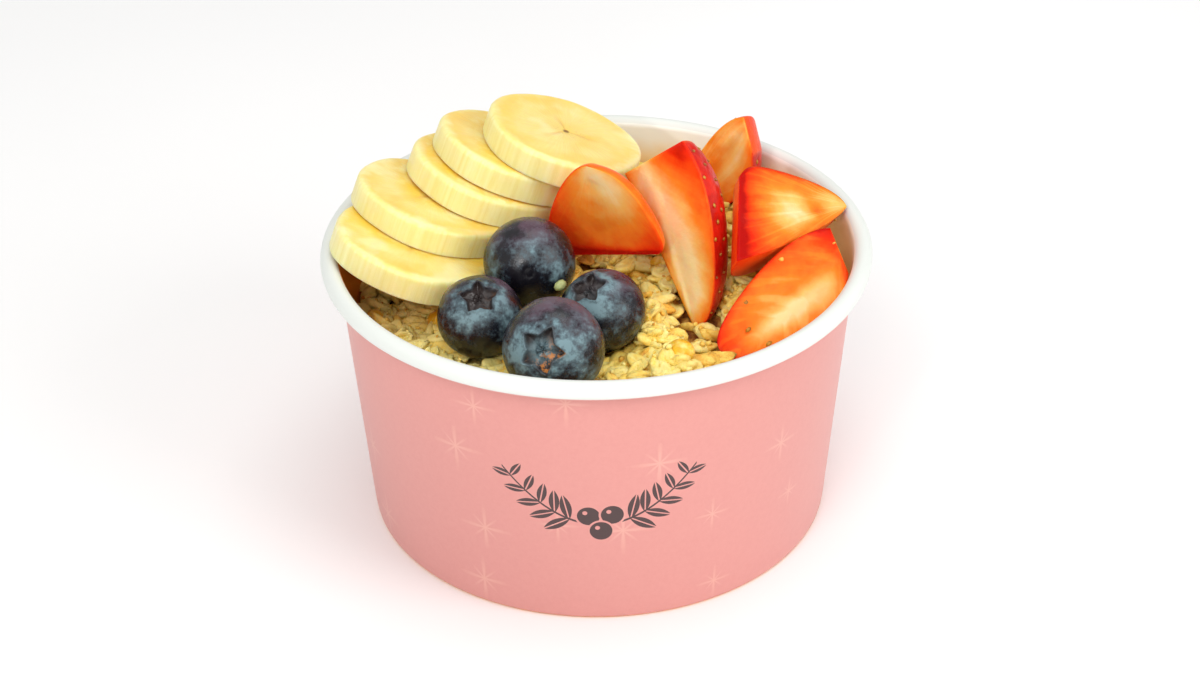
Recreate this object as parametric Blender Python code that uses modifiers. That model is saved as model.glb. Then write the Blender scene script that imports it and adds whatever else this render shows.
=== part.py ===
"""An acai bowl in a paper cup: blended acai under a heap of granola, topped with a fan of banana
slices, four blueberries and five cut strawberry pieces. Metres, +Z up, the origin at the middle of
the cup's foot, with the blueberries on the -Y side."""

import math

import bmesh
import bpy
from mathutils import Vector
from mathutils.bvhtree import BVHTree

MM = 0.001
CLEARANCE = 0.3 * MM

# The paper cup: a squat tub with a rolled rim, a tapered wall, and a hem that traps the base disc
RIM_DIAMETER = 115 * MM
CUP_HEIGHT = 62 * MM
FOOT_DIAMETER = 99 * MM
WALL_PAPER = 0.5 * MM
BASE_PAPER = 0.4 * MM
ROLL_RADIUS = 1.95 * MM
ROLL_SWEEP = math.radians(290)
ROLL_STEPS = 10
HEM_HEIGHT = 6.0 * MM
HEM_CHANNEL = 1.1 * MM
BASE_RECESS = 6.7 * MM
SKIRT_FOOT = 0.9 * MM
TURN_STEPS = 48

# The filling
ACAI_TOP = 36 * MM
GRANOLA_LEVEL = 50 * MM
GRANOLA_RINGS = 16
GRANOLA_SPOKES = 72
CELL_REACH = 4.2 * MM
PROBE_STEP = 1.25 * MM

# The banana fan: each slice lies on the one before it
SLICE_THICKNESS = 5.5 * MM
SLICE_SIDES = 30
SLICE_BEVEL = 0.7 * MM
SLICE_FIVE_SIDED = 0.012
PROBE_RINGS = 8
PROBE_SPOKES = 40

# The blueberries: a flattened ball with a crown round a shallow cup at the blossom end
BERRY_FLATNESS = 0.9
CROWN_RADIUS = 0.36
CROWN_LIP = 0.05
CROWN_DEPTH = 0.16
BERRY_STEPS = 20

# The strawberry pieces: a flat cut face over a domed skin. Each row holds the tip (mm), the
# heading, rise and roll of the core line (degrees), the length, the widths to the left and
# right of the core (mm), the fullness and the taper of each side, the slant of the stem end,
# the depth of the dome and the sideways lean of its top (mm).
FACE_STEPS = 12
DOME_ANGLES = [math.radians(degrees) for degrees in (16, 36, 58, 78)]
DOME_ROUNDNESS = 0.85
STRAWBERRY_PIECES = [
    ((-1.6, -2.6, 79.9), (66, -78, -174), 24.0, (13.0, 16.0), (0.60, 0.35), (0.10, 0.20), -0.35, 6.0, 2.0),
    ((20.2, -10.2, 45.6), (119, 62, -67), 36.5, (11.5, 8.5), (0.40, 0.90), (0.40, -0.05), -0.25, 11.0, -1.5),
    ((18.3, 31.7, 48.6), (-14, 58, 69), 28.0, (8.5, 5.0), (0.50, 0.40), (0.60, 0.70), 0.75, 12.0, 1.0),
    ((53.2, 10.2, 62.8), (-149, 13, -31), 28.5, (11.5, 11.0), (0.50, 0.75), (0.35, 0.00), 0.50, 12.0, 6.0),
    ((25.5, -25.7, 48.8), (37, 24, 32), 33.5, (9.0, 8.0), (0.40, 0.35), (0.55, 0.55), 0.45, 10.5, 0.0),
]


def put_in(collection_name, obj):
    collection = bpy.data.collections.get(collection_name)
    if collection is None:
        collection = bpy.data.collections.new(collection_name)
        bpy.context.scene.collection.children.link(collection)
    collection.objects.link(obj)
    return obj


def material(name, colour, roughness):
    made = bpy.data.materials.new(name)
    made.use_nodes = True
    shader = made.node_tree.nodes["Principled BSDF"]
    shader.inputs["Base Color"].default_value = (*colour, 1.0)
    shader.inputs["Roughness"].default_value = roughness
    shader.inputs["Metallic"].default_value = 0.0
    return made


def add_mesh(name, bm, finish):
    """A new object named for its piece, smooth but for its real edges."""
    bmesh.ops.recalc_face_normals(bm, faces=bm.faces)
    mesh = bpy.data.meshes.new(name)
    bm.to_mesh(mesh)
    bm.free()
    mesh.materials.append(finish)
    mesh.shade_smooth()
    mesh.set_sharp_from_angle(angle=math.radians(40))
    return put_in("acai_bowl", bpy.data.objects.new(name, mesh))


def turned(name, outline, steps, finish, closed):
    """A turned piece: an outline of (radius, height) points that runs down its outer side."""
    mesh = bpy.data.meshes.new(name)
    edges = [(i, i + 1) for i in range(len(outline) - 1)]
    if closed:
        edges.append((len(outline) - 1, 0))
    mesh.from_pydata([(r, 0.0, z) for r, z in outline], edges, [])
    mesh.materials.append(finish)
    obj = put_in("acai_bowl", bpy.data.objects.new(name, mesh))
    screw = obj.modifiers.new("Turn", "SCREW")
    screw.steps = steps
    screw.render_steps = steps
    screw.use_merge_vertices = True
    screw.merge_threshold = 0.00001
    screw.use_smooth_shade = True
    return obj


def sheet_sides(centre_line, thickness):
    """The two faces of a bent sheet, from the line through its middle, mitred at the bends."""
    points = [Vector(point) for point in centre_line]
    left, right = [], []
    for i, point in enumerate(points):
        before = (point - points[i - 1]).normalized() if i else None
        after = (points[i + 1] - point).normalized() if i + 1 < len(points) else None
        before, after = before or after, after or before
        across = Vector((-before.y - after.y, before.x + after.x)).normalized()
        mitre = across.dot(Vector((-before.y, before.x)))
        step = across * (thickness / 2 / mitre)
        left.append(tuple(point + step))
        right.append(tuple(point - step))
    return left, right


def wall_line_radius(height):
    """Radius of the middle of the wall's paper at this height."""
    foot = FOOT_DIAMETER / 2 - WALL_PAPER / 2
    top = RIM_DIAMETER / 2 - 2 * ROLL_RADIUS + WALL_PAPER / 2
    low = WALL_PAPER / 2
    high = CUP_HEIGHT - ROLL_RADIUS
    return foot + (top - foot) * (height - low) / (high - low)


def inside_radius(height):
    """Radius that a filling may reach at this height, clear of the wall."""
    return wall_line_radius(height) - WALL_PAPER / 2 - CLEARANCE


def build_cup_wall():
    """Sidewall, rolled rim and hem, all bent from one blank."""
    hem_radius = wall_line_radius(0) - WALL_PAPER - HEM_CHANNEL
    line = [(hem_radius, HEM_HEIGHT), (hem_radius, WALL_PAPER / 2)]
    line.append((wall_line_radius(WALL_PAPER / 2), WALL_PAPER / 2))
    roll = ROLL_RADIUS - WALL_PAPER / 2
    centre = (RIM_DIAMETER / 2 - ROLL_RADIUS, CUP_HEIGHT - ROLL_RADIUS)
    for i in range(ROLL_STEPS + 1):
        angle = math.pi - ROLL_SWEEP * i / ROLL_STEPS
        line.append((centre[0] + roll * math.cos(angle), centre[1] + roll * math.sin(angle)))
    left, right = sheet_sides(line, WALL_PAPER)
    paper = material("coated_paper_pink", (0.80, 0.36, 0.34), 0.55)
    return turned("cup_wall", right[::-1] + left, TURN_STEPS, paper, closed=True)


def build_cup_base():
    """The disc that closes the cup, its edge turned down into the hem."""
    hem_radius = wall_line_radius(0) - WALL_PAPER - HEM_CHANNEL
    skirt = hem_radius + WALL_PAPER / 2 + HEM_CHANNEL / 2
    middle = BASE_RECESS + BASE_PAPER / 2
    left, right = sheet_sides([(0, middle), (skirt, middle), (skirt, SKIRT_FOOT)], BASE_PAPER)
    paper = material("coated_paper_white", (0.86, 0.87, 0.85), 0.5)
    return turned("cup_base", left + right[::-1], TURN_STEPS, paper, closed=False)


def build_acai():
    """The blended acai, poured in to a level under the granola."""
    low = BASE_RECESS + BASE_PAPER + CLEARANCE
    bm = bmesh.new()
    bmesh.ops.create_cone(
        bm,
        cap_ends=True,
        segments=TURN_STEPS,
        radius1=inside_radius(low),
        radius2=inside_radius(ACAI_TOP),
        depth=ACAI_TOP - low,
    )
    bmesh.ops.translate(bm, verts=bm.verts, vec=(0, 0, (ACAI_TOP + low) / 2))
    return add_mesh("acai", bm, material("acai_blend", (0.09, 0.02, 0.05), 0.5))


def disc_points(centre, tilt_x, tilt_y, radius, offset):
    """Rings of points over a slice's flat face, offset from its middle along its own axis."""
    axis = Vector((tilt_x, tilt_y, 1)).normalized()
    across = axis.cross(Vector((0, 1, 0))).normalized()
    along = axis.cross(across)
    points = []
    for ring in range(1, PROBE_RINGS + 1):
        for spoke in range(PROBE_SPOKES):
            angle = math.tau * spoke / PROBE_SPOKES
            reach = radius * ring / PROBE_RINGS
            points.append(
                centre
                + axis * offset
                + across * (reach * math.cos(angle))
                + along * (reach * math.sin(angle))
            )
    return points, axis


def height_on(lower, x, y, tilt_x, tilt_y, radius):
    """Height of a slice's middle when it lies on the slice below with the usual clearance."""
    low_centre, low_axis, low_radius = lower
    points, axis = disc_points(Vector((x, y, 0)), tilt_x, tilt_y, radius, -SLICE_THICKNESS / 2)
    top = low_centre + low_axis * (SLICE_THICKNESS / 2)
    lift = -1.0
    for point in points:
        drop = low_axis.dot(point - top) / low_axis.z
        landed = point - Vector((0, 0, drop))
        if (landed - top).length < low_radius:
            lift = max(lift, -drop)
    return lift + CLEARANCE / low_axis.z


def build_bananas():
    """Five slices in a fan, each leaning on the one before it, the first on the rim."""
    flesh = material("banana_flesh", (0.90, 0.74, 0.36), 0.45)
    # middle x and y, lean of the face towards +X and +Y, radius
    fan = [
        (-38.6 * MM, -2.0 * MM, 0.36, 0.10, 17.0 * MM),
        (-34.7 * MM, 11.3 * MM, 0.365, 0.105, 17.2 * MM),
        (-23.7 * MM, 21.0 * MM, 0.39, 0.11, 17.3 * MM),
        (-18.1 * MM, 24.4 * MM, 0.39, 0.12, 17.1 * MM),
        (-6.9 * MM, 24.5 * MM, 0.34, 0.06, 17.4 * MM),
    ]
    first_height = 60.0 * MM
    slices = []
    lower = None
    for number, (x, y, tilt_x, tilt_y, radius) in enumerate(fan, start=1):
        height = height_on(lower, x, y, tilt_x, tilt_y, radius) if lower else first_height
        centre = Vector((x, y, height))
        axis = Vector((tilt_x, tilt_y, 1)).normalized()
        bm = bmesh.new()
        bmesh.ops.create_cone(
            bm,
            cap_ends=True,
            segments=SLICE_SIDES,
            radius1=radius,
            radius2=radius,
            depth=SLICE_THICKNESS,
        )
        for vertex in bm.verts:
            angle = math.atan2(vertex.co.y, vertex.co.x)
            vertex.co.xy *= 1 - SLICE_FIVE_SIDED * (1 + math.cos(5 * angle + number))
        piece = add_mesh(f"banana_slice_{number}", bm, flesh)
        piece.location = centre
        piece.rotation_mode = "QUATERNION"
        piece.rotation_quaternion = Vector((0, 0, 1)).rotation_difference(axis)
        bevel = piece.modifiers.new("Soft edge", "BEVEL")
        bevel.width = SLICE_BEVEL
        bevel.segments = 1
        bevel.limit_method = "ANGLE"
        bevel.angle_limit = math.radians(50)
        slices.append(piece)
        lower = (centre, axis, radius)
    return slices


def build_blueberries():
    """Four blueberries, each turned from one outline and tipped so that its crown faces out."""
    skin = material("blueberry_skin", (0.06, 0.09, 0.13), 0.5)
    # middle, radius, direction of the crown
    berries = [
        ((-13.8, -7.6, 60.4), 9.5, (0.0, 0.96, -0.28)),
        ((-23.6, -23.2, 57.0), 8.7, (0.01, -0.43, 0.90)),
        ((-8.7, -37.2, 58.0), 10.2, (-0.26, -0.84, 0.47)),
        ((1.0, -20.4, 56.2), 8.9, (-0.39, -0.25, 0.89)),
    ]
    made = []
    for number, (middle, radius, crown) in enumerate(berries, start=1):
        r = radius * MM
        lip_angle = math.asin(CROWN_RADIUS)
        outline = [(0.0, r * BERRY_FLATNESS * math.cos(lip_angle) - CROWN_DEPTH * r)]
        rim_height = r * BERRY_FLATNESS * math.cos(lip_angle)
        outline.append((r * CROWN_RADIUS * 0.72, rim_height - CROWN_DEPTH * r))
        outline.append((r * CROWN_RADIUS * 0.92, rim_height + CROWN_LIP * r))
        for i in range(9):
            angle = lip_angle + (math.pi - lip_angle) * i / 8
            outline.append((r * math.sin(angle), r * BERRY_FLATNESS * math.cos(angle)))
        outline[-1] = (0.0, -r * BERRY_FLATNESS)
        berry = turned(f"blueberry_{number}", outline, BERRY_STEPS, skin, closed=False)
        berry.location = Vector(middle) * MM
        berry.rotation_mode = "QUATERNION"
        berry.rotation_quaternion = Vector((0, 0, 1)).rotation_difference(Vector(crown))
        made.append(berry)
    return made


def half_width(t, fullness, taper):
    """Half a strawberry's width at the fraction t of its length: round at the tip, and drawn in
    by the taper towards the stem end."""
    samples = [i / 60 for i in range(1, 61)]
    widest = max(s**fullness * (1 - taper * s**5) for s in samples)
    return t**fullness * (1 - taper * t**5) / widest if t > 0 else 0.0


def build_strawberries():
    """Five pieces cut from strawberries. Each is a flat face round its core line, from the tip
    to the stem end, with the skin domed behind it."""
    flesh = material("strawberry_flesh", (0.85, 0.20, 0.04), 0.4)
    made = []
    for number, piece in enumerate(STRAWBERRY_PIECES, start=1):
        tip, (heading, rise, roll), length, widths, fullness, taper, slant, depth, lean = piece
        heading, rise, roll = (math.radians(angle) for angle in (heading, rise, roll))
        along = Vector(
            (
                math.cos(rise) * math.cos(heading),
                math.cos(rise) * math.sin(heading),
                math.sin(rise),
            )
        )
        level = Vector((-math.sin(heading), math.cos(heading), 0))
        across = level * math.cos(roll) + along.cross(level) * math.sin(roll)
        out = along.cross(across)
        stations = [(i / FACE_STEPS) ** 1.5 for i in range(FACE_STEPS + 1)]
        outline = []
        for side, ts in ((1, stations), (0, stations[:0:-1])):
            for t in ts:
                width = half_width(t, fullness[side], taper[side]) * widths[side]
                width = width if side else -width
                outline.append(Vector((t * length + slant * width * t**3, width)))
        middle = Vector((0.58 * length, (widths[1] - widths[0]) / 2 + lean))
        bm = bmesh.new()
        rings = []
        for angle in [0.0] + DOME_ANGLES:
            ring = []
            for point in outline:
                shrunk = middle + (point - middle) * math.cos(angle) ** DOME_ROUNDNESS
                place = along * shrunk.x + across * shrunk.y - out * (depth * math.sin(angle))
                ring.append(bm.verts.new((Vector(tip) + place) * MM))
            rings.append(ring)
        count = len(outline)
        for upper, under in zip(rings, rings[1:]):
            for i in range(count):
                j = (i + 1) % count
                bm.faces.new((upper[i], upper[j], under[j], under[i]))
        bm.faces.new(rings[0])
        bm.faces.new(rings[-1])
        made.append(add_mesh(f"strawberry_{number}", bm, flesh))
    return made


def granola_height(x, y):
    """Height of the heap where nothing rests on it: level, sunk at the left wall, banked up
    under the bananas and behind the standing strawberries, and lumpy."""

    def swell(middle_x, middle_y, spread):
        return math.exp(-((x - middle_x) ** 2 + (y - middle_y) ** 2) / (2 * spread**2))

    sunk = 7.0 * MM * swell(-0.052, 0.002, 0.016)
    bank = 7.0 * MM * max(swell(-0.012, 0.030, 0.015), swell(0.018, 0.026, 0.013))
    lumps = math.sin(x * 610 + 1.1) * math.cos(y * 540 + 0.4)
    lumps += 0.7 * math.sin(x * 350 - y * 800)
    return GRANOLA_LEVEL - sunk + bank + 0.6 * MM * lumps


def build_granola(resting):
    """The heap of granola, with a bed pressed into it under every piece of fruit."""
    bpy.context.view_layer.update()
    graph = bpy.context.evaluated_depsgraph_get()
    points, faces = [], []
    for obj in resting:
        evaluated = obj.evaluated_get(graph)
        mesh = evaluated.to_mesh()
        start = len(points)
        points += [evaluated.matrix_world @ vertex.co for vertex in mesh.vertices]
        faces += [[start + i for i in polygon.vertices] for polygon in mesh.polygons]
        evaluated.to_mesh_clear()
    fruit = BVHTree.FromPolygons(points, faces)

    underside = [tuple(point) for point in points]
    reach = int(RIM_DIAMETER / 2 / PROBE_STEP)
    for i in range(-reach, reach + 1):
        for j in range(-reach, reach + 1):
            x, y = i * PROBE_STEP, j * PROBE_STEP
            hit = fruit.ray_cast(Vector((x, y, 0)), Vector((0, 0, 1)))[0]
            if hit:
                underside.append((x, y, hit.z))

    def settled(x, y):
        height = granola_height(x, y)
        for px, py, pz in underside:
            if abs(px - x) < CELL_REACH and abs(py - y) < CELL_REACH:
                height = min(height, pz - 1.5 * CLEARANCE)
        return max(height, ACAI_TOP + 4 * MM)

    bm = bmesh.new()
    bottom_z = ACAI_TOP + CLEARANCE
    rings = []
    for ring in range(1, GRANOLA_RINGS + 1):
        verts = []
        for spoke in range(GRANOLA_SPOKES):
            angle = math.tau * spoke / GRANOLA_SPOKES
            share = ring / GRANOLA_RINGS
            r = inside_radius(GRANOLA_LEVEL) * share
            z = settled(r * math.cos(angle), r * math.sin(angle))
            r = inside_radius(z) * share
            verts.append(bm.verts.new((r * math.cos(angle), r * math.sin(angle), z)))
        rings.append(verts)
    bottom = []
    for spoke in range(GRANOLA_SPOKES):
        angle = math.tau * spoke / GRANOLA_SPOKES
        r = inside_radius(bottom_z)
        bottom.append(bm.verts.new((r * math.cos(angle), r * math.sin(angle), bottom_z)))
    centre = bm.verts.new((0, 0, settled(0, 0)))
    loops = rings + [bottom]
    for i in range(GRANOLA_SPOKES):
        j = (i + 1) % GRANOLA_SPOKES
        bm.faces.new((centre, rings[0][i], rings[0][j]))
        for inner, outer in zip(loops, loops[1:]):
            bm.faces.new((inner[i], outer[i], outer[j], inner[j]))
    bm.faces.new(bottom[::-1])
    return add_mesh("granola", bm, material("granola_oats", (0.58, 0.38, 0.13), 0.75))


for leftover in list(bpy.data.objects):
    bpy.data.objects.remove(leftover, do_unlink=True)

build_cup_wall()
build_cup_base()
build_acai()
toppings = build_bananas() + build_blueberries() + build_strawberries()
build_granola(toppings)
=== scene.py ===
"""The looks of an acai bowl in a paper cup: printed paper, toasted granola, banana slices,
blueberries and cut strawberries, built round the solids. Metres, +Z up."""

import math
from collections import namedtuple
from functools import partialmethod

import bpy
import numpy as np
from mathutils import Matrix
from mathutils import Vector
from mathutils import noise
from mathutils.bvhtree import BVHTree


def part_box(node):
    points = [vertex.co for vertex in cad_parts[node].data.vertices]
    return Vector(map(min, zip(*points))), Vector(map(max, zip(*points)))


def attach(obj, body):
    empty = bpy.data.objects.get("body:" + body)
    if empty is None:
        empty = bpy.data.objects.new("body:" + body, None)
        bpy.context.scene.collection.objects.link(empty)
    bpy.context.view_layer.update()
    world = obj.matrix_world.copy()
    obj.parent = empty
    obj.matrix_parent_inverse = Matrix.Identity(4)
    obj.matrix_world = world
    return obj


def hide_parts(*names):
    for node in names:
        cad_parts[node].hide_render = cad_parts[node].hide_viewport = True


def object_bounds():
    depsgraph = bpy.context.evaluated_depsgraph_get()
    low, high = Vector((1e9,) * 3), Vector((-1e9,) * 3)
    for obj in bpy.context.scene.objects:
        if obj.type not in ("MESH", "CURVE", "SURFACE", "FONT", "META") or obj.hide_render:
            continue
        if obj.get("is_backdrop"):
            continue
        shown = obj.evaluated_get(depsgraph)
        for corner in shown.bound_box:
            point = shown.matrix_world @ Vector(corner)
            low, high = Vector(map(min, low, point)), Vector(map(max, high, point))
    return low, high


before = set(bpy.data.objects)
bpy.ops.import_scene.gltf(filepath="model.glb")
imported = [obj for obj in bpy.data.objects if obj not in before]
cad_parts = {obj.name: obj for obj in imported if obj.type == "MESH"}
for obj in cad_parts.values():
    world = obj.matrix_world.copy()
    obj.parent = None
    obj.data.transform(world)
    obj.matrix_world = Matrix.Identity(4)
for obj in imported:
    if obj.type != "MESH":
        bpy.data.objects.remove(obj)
solids_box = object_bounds()


# ---- Cup wall ---------------------------------------------------------------------------
# The wall of a squat takeaway tub: one blank of coated paperboard, lapped and glued into a
# cone at the back, its top edge rolled outward into the rim and its foot folded into a hem.
# The outside is printed pink with faint sparkles and a dark sprig; the rim and inside are bare.
MM = 0.001
PAPER = 0.5 * MM
ROLL_RADIUS = 1.95 * MM
ROLL_SWEEP = math.radians(290)
FOOT_RADIUS = 49.5 * MM
HEM_HEIGHT = 6.0 * MM
HEM_CHANNEL = 1.1 * MM
LAP_WIDTH = 9.0 * MM
LAP_STEP = 0.22 * MM
LAP_ANGLE = math.radians(98)
WALL_SPOKES = 288

wall_low, wall_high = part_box("cup_wall")
rim_radius = (wall_high.x - wall_low.x) / 2
cup_height = wall_high.z


def srgb(red, green, blue):
    """A colour, 0 to 255, as the linear values that a shader takes."""
    shares = [channel / 255 for channel in (red, green, blue)]
    return (*[c / 12.92 if c < 0.04 else ((c + 0.055) / 1.055) ** 2.4 for c in shares], 1.0)


class Wire:
    """A value in a material. Each sum on it, with wires or numbers, is a node of its tree."""

    def __init__(self, tree, socket):
        self.tree = tree
        self.socket = socket

    def calc(self, operation, *terms):
        return place(self.tree, "Math", [self, *terms], operation=operation)

    __add__ = partialmethod(calc, "ADD")
    __sub__ = partialmethod(calc, "SUBTRACT")
    __mul__ = partialmethod(calc, "MULTIPLY")
    __truediv__ = partialmethod(calc, "DIVIDE")
    __pow__ = partialmethod(calc, "POWER")
    __abs__ = partialmethod(calc, "ABSOLUTE")
    __lt__ = partialmethod(calc, "LESS_THAN")
    __gt__ = partialmethod(calc, "GREATER_THAN")


def place(tree, kind, feeds=(), output=0, **settings):
    """The wire out of a new node. A feed is linked if it is a wire, and set if it is a value."""
    made = tree.nodes.new("ShaderNode" + kind)
    for name, value in settings.items():
        setattr(made, name, value)
    for key, value in feeds.items() if isinstance(feeds, dict) else enumerate(feeds):
        if isinstance(value, Wire):
            tree.links.new(value.socket, made.inputs[key])
        else:
            made.inputs[key].default_value = value
    return Wire(tree, made.outputs[output])


def parts(wire, kind="SeparateXYZ"):
    """The three numbers in a place or a colour."""
    first = place(wire.tree, kind, [wire])
    return [Wire(wire.tree, socket) for socket in first.socket.node.outputs]


def reach_of(x, y):
    """How far a place with these two wires is from zero."""
    return (x * x + y * y).calc("SQRT")


def stretch(value, low, high, to_low=0.0, to_high=1.0):
    """The value, spread smoothly from one span to another and held at its ends."""
    feeds = [value, low, high, to_low, to_high]
    return place(value.tree, "MapRange", feeds, interpolation_type="SMOOTHSTEP")


def blend(share, first, second):
    """Two colours mixed by a share."""
    return place(share.tree, "Mix", {0: share, 6: first, 7: second}, 2, data_type="RGBA")


def ramp(value, *stops):
    """A run of colours along a value, from (position, red, green, blue) stops."""
    run = place(value.tree, "ValToRGB", [value])
    elements = run.socket.node.color_ramp.elements
    while len(elements) < len(stops):
        elements.new(0.5)
    for element, (position, *colour) in zip(elements, stops):
        element.position = position
        element.color = srgb(*colour)
    return run


def new_group(name, **sockets):
    """A new node group that gives one mask, and the wires of its inputs."""
    made = bpy.data.node_groups.new(name, "ShaderNodeTree")
    for title, kind in sockets.items():
        made.interface.new_socket(title, in_out="INPUT", socket_type="NodeSocket" + kind)
    made.interface.new_socket("Mask", in_out="OUTPUT", socket_type="NodeSocketFloat")
    inlets = made.nodes.new("NodeGroupInput").outputs
    return made, [Wire(made, socket) for socket in inlets[: len(sockets)]]


def end_group(mask):
    """Sends this wire out of its group."""
    mask.tree.links.new(mask.socket, mask.tree.nodes.new("NodeGroupOutput").inputs[0])


speckle_shape, inlets = new_group(
    "speckle", Place="Vector", Scale="Float", Detail="Float", Roughness="Float"
)
feeds = dict(zip(("Vector", "Scale", "Detail", "Roughness"), inlets))
end_group(place(speckle_shape, "TexNoise", feeds))


def speckle(where, scale, detail=3.0, roughness=0.6):
    """Soft noise from 0 to 1 at this many lumps to the metre."""
    return place(where.tree, "Group", [where, scale, detail, roughness], node_tree=speckle_shape)


def new_finish(name, **settings):
    """A new material with its shader's plain sockets set, and the wire of places on a piece."""
    made = bpy.data.materials.new(name)
    made.use_nodes = True
    for key, value in settings.items():
        shader = made.node_tree.nodes["Principled BSDF"]
        shader.inputs[key.replace("_", " ")].default_value = value
    return made, place(made.node_tree, "TexCoord", output="Object")


def feed(wire, socket="Base Color"):
    """Sends this wire into a socket of its material's shader."""
    wire.tree.links.new(wire.socket, wire.tree.nodes["Principled BSDF"].inputs[socket])


def relief(height, depth, strength=1.0):
    """Bumps the surface by a height map of this depth in metres."""
    feeds = {"Height": height, "Distance": depth, "Strength": strength}
    feed(place(height.tree, "Bump", feeds), "Normal")


def link(made):
    """Puts a new object in the scene."""
    bpy.context.scene.collection.objects.link(made)


def add_piece(name, points, faces, finish, slot):
    """A new smooth mesh piece that rides with the bowl."""
    mesh = bpy.data.meshes.new(name)
    mesh.from_pydata([tuple(point) for point in points], [], faces)
    mesh.materials.append(finish)
    mesh.shade_smooth()
    mesh.validate()
    piece = bpy.data.objects.new(name, mesh)
    link(piece)
    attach(piece, "root")
    return piece


def around(angle, reach=1.0):
    """The place at this angle and reach."""
    return reach * math.cos(angle), reach * math.sin(angle)


def grid_faces(rows, columns, closed, start=0):
    """Quads over a grid of points held row by row, its columns joined round if closed."""
    faces = []
    for row in range(rows - 1):
        for column in range(columns if closed else columns - 1):
            beside = (column + 1) % columns
            low, high = start + row * columns, start + (row + 1) * columns
            faces.append((low + column, low + beside, high + beside, high + column))
    return faces


def wall_line(height):
    """Radius of the middle of the wall's paper at this height."""
    foot = FOOT_RADIUS - PAPER / 2
    top = rim_radius - 2 * ROLL_RADIUS + PAPER / 2
    return foot + (top - foot) * (height - PAPER / 2) / (cup_height - ROLL_RADIUS - PAPER / 2)


def wall_centre_line():
    """The middle of the paper, from the top of the hem, round the foot and up to the roll."""
    hem = wall_line(0) - PAPER - HEM_CHANNEL
    foot = wall_line(PAPER / 2)
    line = [(hem, HEM_HEIGHT * (1 - i / 4)) for i in range(4)]
    fold = (foot - hem) / 2
    for i in range(9):
        angle = math.pi + math.pi * i / 8
        line.append((hem + fold + fold * math.cos(angle), PAPER / 2 + fold * (1 + math.sin(angle))))
    low, high = line[-1][1], cup_height - ROLL_RADIUS
    heights = [low + (high - low) * i / 40 for i in range(1, 40)]
    line += [(wall_line(height), height) for height in heights]
    roll = ROLL_RADIUS - PAPER / 2
    for i in range(37):
        angle = math.pi - ROLL_SWEEP * i / 36
        middle = (rim_radius - ROLL_RADIUS, high)
        line.append((middle[0] + roll * math.cos(angle), middle[1] + roll * math.sin(angle)))
    return np.array(line)


centre_line = wall_centre_line()
steps = np.gradient(centre_line, axis=0)
steps /= np.linalg.norm(steps, axis=1)[:, None]
sideways = np.stack([steps[:, 1], -steps[:, 0]], axis=1) * PAPER / 2
outer, inner = centre_line + sideways, centre_line - sideways
outline = np.concatenate([outer, inner[::-1]])

turn = np.arange(WALL_SPOKES) * math.tau / WALL_SPOKES
lap_half = LAP_WIDTH / 2 / FOOT_RADIUS
lap_ends = [LAP_ANGLE - lap_half, LAP_ANGLE + lap_half]
turn = np.sort(np.concatenate([turn, [a + d for a in lap_ends for d in (-0.003, 0.0, 0.003)]]))
into_lap = np.clip((turn - lap_ends[0] + 0.003) / 0.003, 0, 1)
out_of_lap = np.clip((lap_ends[1] + 0.05 - turn) / 0.05, 0, 1)
lap = LAP_STEP * into_lap * out_of_lap
on_wall = np.clip((cup_height - 2.6 * ROLL_RADIUS - outline[:, 1]) / MM, 0, 1)
on_wall *= np.clip((outline[:, 1] - 0.1 * MM) / MM, 0, 1)
on_wall[len(outer):] = 0
spokes = []
for angle, thicker in zip(turn, lap):
    radius = outline[:, 0] + on_wall * thicker
    spokes.append(np.stack([*around(angle, radius), outline[:, 1]], axis=1))
wall_points = np.stack(spokes, axis=1)
rows, columns = wall_points.shape[:2]
faces = grid_faces(rows, columns, True)
last = columns * (rows - 1)
faces += [(last + i, last + (i + 1) % columns, (i + 1) % columns, i) for i in range(columns)]

printed, where = new_finish("printed_paper", Roughness=0.42, Coat_Weight=0.12, Coat_Roughness=0.3)
x, y, z = parts(where)
# Places on the print, in millimetres: across from the middle of the front, and up from the foot
PRINT_RADIUS = 52.0
across = x.calc("ARCTAN2", y * -1.0) * PRINT_RADIUS
up = z * 1000.0
taper = (wall_line(0.05) - wall_line(0.0)) / 0.05
outside = reach_of(x, y) > z * taper + wall_line(0.0)
under_roll = up < (cup_height - 1.55 * ROLL_RADIUS) * 1000
inked = outside * under_roll

# Sparkles: one star to a cell, moved and sized by chance, some cells left empty
CELL = (17.5, 15.0)
SHORTEST_RAY = 2.4
RAY_SPREAD = 5.0
EMPTY_SHARE = 0.28
column = (across / CELL[0]).calc("FLOOR")
row = (up / CELL[1]).calc("FLOOR")
cell = place(where.tree, "CombineXYZ", [column, row, 3.7])
draw = parts(place(where.tree, "TexWhiteNoise", [cell], "Color"), "SeparateColor")
from_star = across - (draw[0] * 0.5 + 0.25 + column) * CELL[0]
above_star = up - (draw[1] * 0.5 + 0.25 + row) * CELL[1]
star_angle = above_star.calc("ARCTAN2", from_star) * 2.0
long_rays = abs(star_angle.calc("COSINE")) ** 16.0
short_rays = abs(star_angle.calc("SINE")) ** 22.0
rays = long_rays.calc("MAXIMUM", short_rays * 0.6)
ray_length = (rays * 0.85 + 0.15) * (draw[2] * RAY_SPREAD + SHORTEST_RAY)
star = (reach_of(from_star, above_star) / ray_length).calc("MINIMUM", 1.0) * -1.0 + 1.0
star = star**1.1 * (draw[2] > EMPTY_SHARE)

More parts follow.
